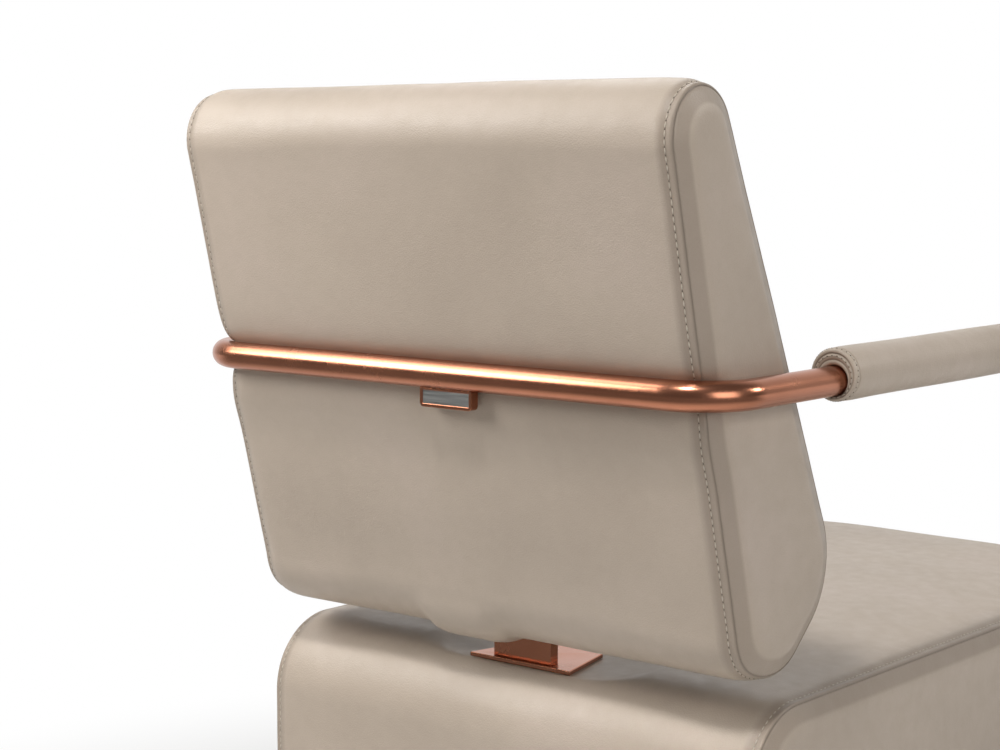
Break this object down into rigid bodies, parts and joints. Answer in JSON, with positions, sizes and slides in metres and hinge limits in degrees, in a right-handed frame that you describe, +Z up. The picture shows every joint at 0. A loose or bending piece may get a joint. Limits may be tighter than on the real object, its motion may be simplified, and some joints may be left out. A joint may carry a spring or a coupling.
{
  "type": "pedicure spa chair",
  "caption": "Upholstered pedicure chair with a leaning backrest, a bent metal arm rail with padded arms, and a sliding seat on a plinth with a foot basin and taps.",
  "frame": {"origin": "on the floor, under the middle of the chair's overall width and length", "axes": "+Z up, -Y towards the sitter's front and the foot basin, +X towards the sitter's left"},
  "size_m": [0.624, 1.3835, 1.1254],
  "materials": {
    "upholstery": "satin",
    "foam": "matte",
    "plywood": "matte",
    "copper_finish": "satin",
    "silver_plate": "satin",
    "steel": "satin",
    "chromed": "polished",
    "copper_pipe": "satin",
    "black_plastic": "matte",
    "white_plastic": "gloss",
    "lacquered_board": "satin",
    "dark_board": "matte",
    "acrylic": "gloss"
  },
  "bodies": {
    "base": {"glides": "black_plastic", "toe_kick": "dark_board", "floor_panel": "plywood", "plinth_shell": "lacquered_board", "deck": "lacquered_board", "basin": "acrylic", "jet_cover": "chromed", "jet_motor": "black_plastic", "waste_flange": "chromed", "waste_trap": "white_plastic", "overflow_rosette": "chromed", "mixer_body": "copper_finish", "supply_pipes": "copper_pipe", "outlet_pipe": "copper_pipe", "spout_base": "copper_finish", "button_bezel": "copper_finish", "air_tube": "black_plastic", "control_box": "black_plastic", "motor_lead": "black_plastic", "footrest_socket": "copper_finish", "slide_rails": "steel", "slide_screws": "steel", "hinge_leaves_fixed": "chromed", "hinge_pins": "steel", "door_magnet": "black_plastic"},
    "release": {"release_lever": "black_plastic"},
    "door": {"access_door": "lacquered_board", "door_knob": "copper_finish", "hinge_leaves_moving": "chromed"},
    "impeller": {"jet_impeller": "black_plastic"},
    "plug": {"waste_plug": "chromed"},
    "mixer_head": {"mixer_cap": "copper_finish", "mixer_pin": "steel"},
    "mixer_handle": {"mixer_lever": "copper_finish"},
    "swivel_spout": {"spout": "copper_finish"},
    "button": {"air_button": "white_plastic"},
    "footrest": {"footrest_stem": "chromed", "footrest_pad": "upholstery"},
    "seat": {"backrest_cover": "upholstery", "backrest_foam": "foam", "backrest_board": "plywood", "board_bolts": "steel", "backrest_post": "copper_finish", "post_flange": "copper_finish", "foot_bolts": "steel", "arm_rail": "copper_finish", "rail_standoffs": "steel", "rail_screws": "steel", "rail_plugs": "black_plastic", "badge_frame": "copper_finish", "badge_plate": "silver_plate", "arm_pad_left": "upholstery", "arm_pad_right": "upholstery", "seat_cover": "upholstery", "seat_foam": "foam", "seat_board": "plywood", "slide_carriages": "steel", "carriage_screws": "steel", "lever_pin": "steel"}
  },
  "joints": [
    {"name": "seat_slide", "type": "slide", "parent": "base", "child": "seat", "axis": [0, -1, 0], "range_m": [0, 0.1]},
    {"name": "slide_release", "type": "hinge", "parent": "seat", "child": "release", "pos_m": [-0.212, 0.027, 0.39], "axis": [0, 0, 1], "range_deg": [0, 18], "stiffness_Nm_per_rad": 1},
    {"name": "door_swing", "type": "hinge", "parent": "base", "child": "door", "pos_m": [0.139, 0.551, 0.22], "axis": [0, 0, -1], "range_deg": [0, 100]},
    {"name": "impeller_spin", "type": "hinge", "parent": "base", "child": "impeller", "pos_m": [0, -0.263, 0.301], "axis": [0, 1, 0], "continuous": true},
    {"name": "plug_lift", "type": "slide", "parent": "base", "child": "plug", "axis": [0, 0, 1], "range_m": [0, 0.01]},
    {"name": "mixer_turn", "type": "hinge", "parent": "base", "child": "mixer_head", "pos_m": [-0.12, -0.643, 0.44], "axis": [0, 0, 1], "range_deg": [-45, 45]},
    {"name": "mixer_lift", "type": "hinge", "parent": "mixer_head", "child": "mixer_handle", "pos_m": [-0.12, -0.643, 0.4473], "axis": [0, 1, 0], "range_deg": [0, 25]},
    {"name": "spout_swivel", "type": "hinge", "parent": "base", "child": "swivel_spout", "pos_m": [0.12, -0.643, 0.44], "axis": [0, 0, 1], "range_deg": [-45, 45]},
    {"name": "button_press", "type": "slide", "parent": "base", "child": "button", "axis": [0, 0, -1], "range_m": [0, 0.003], "stiffness_N_per_m": 300, "springref_m": -0.002},
    {"name": "footrest_lift", "type": "slide", "parent": "base", "child": "footrest", "axis": [0, 0, 1], "range_m": [0, 0.05]}
  ]
}
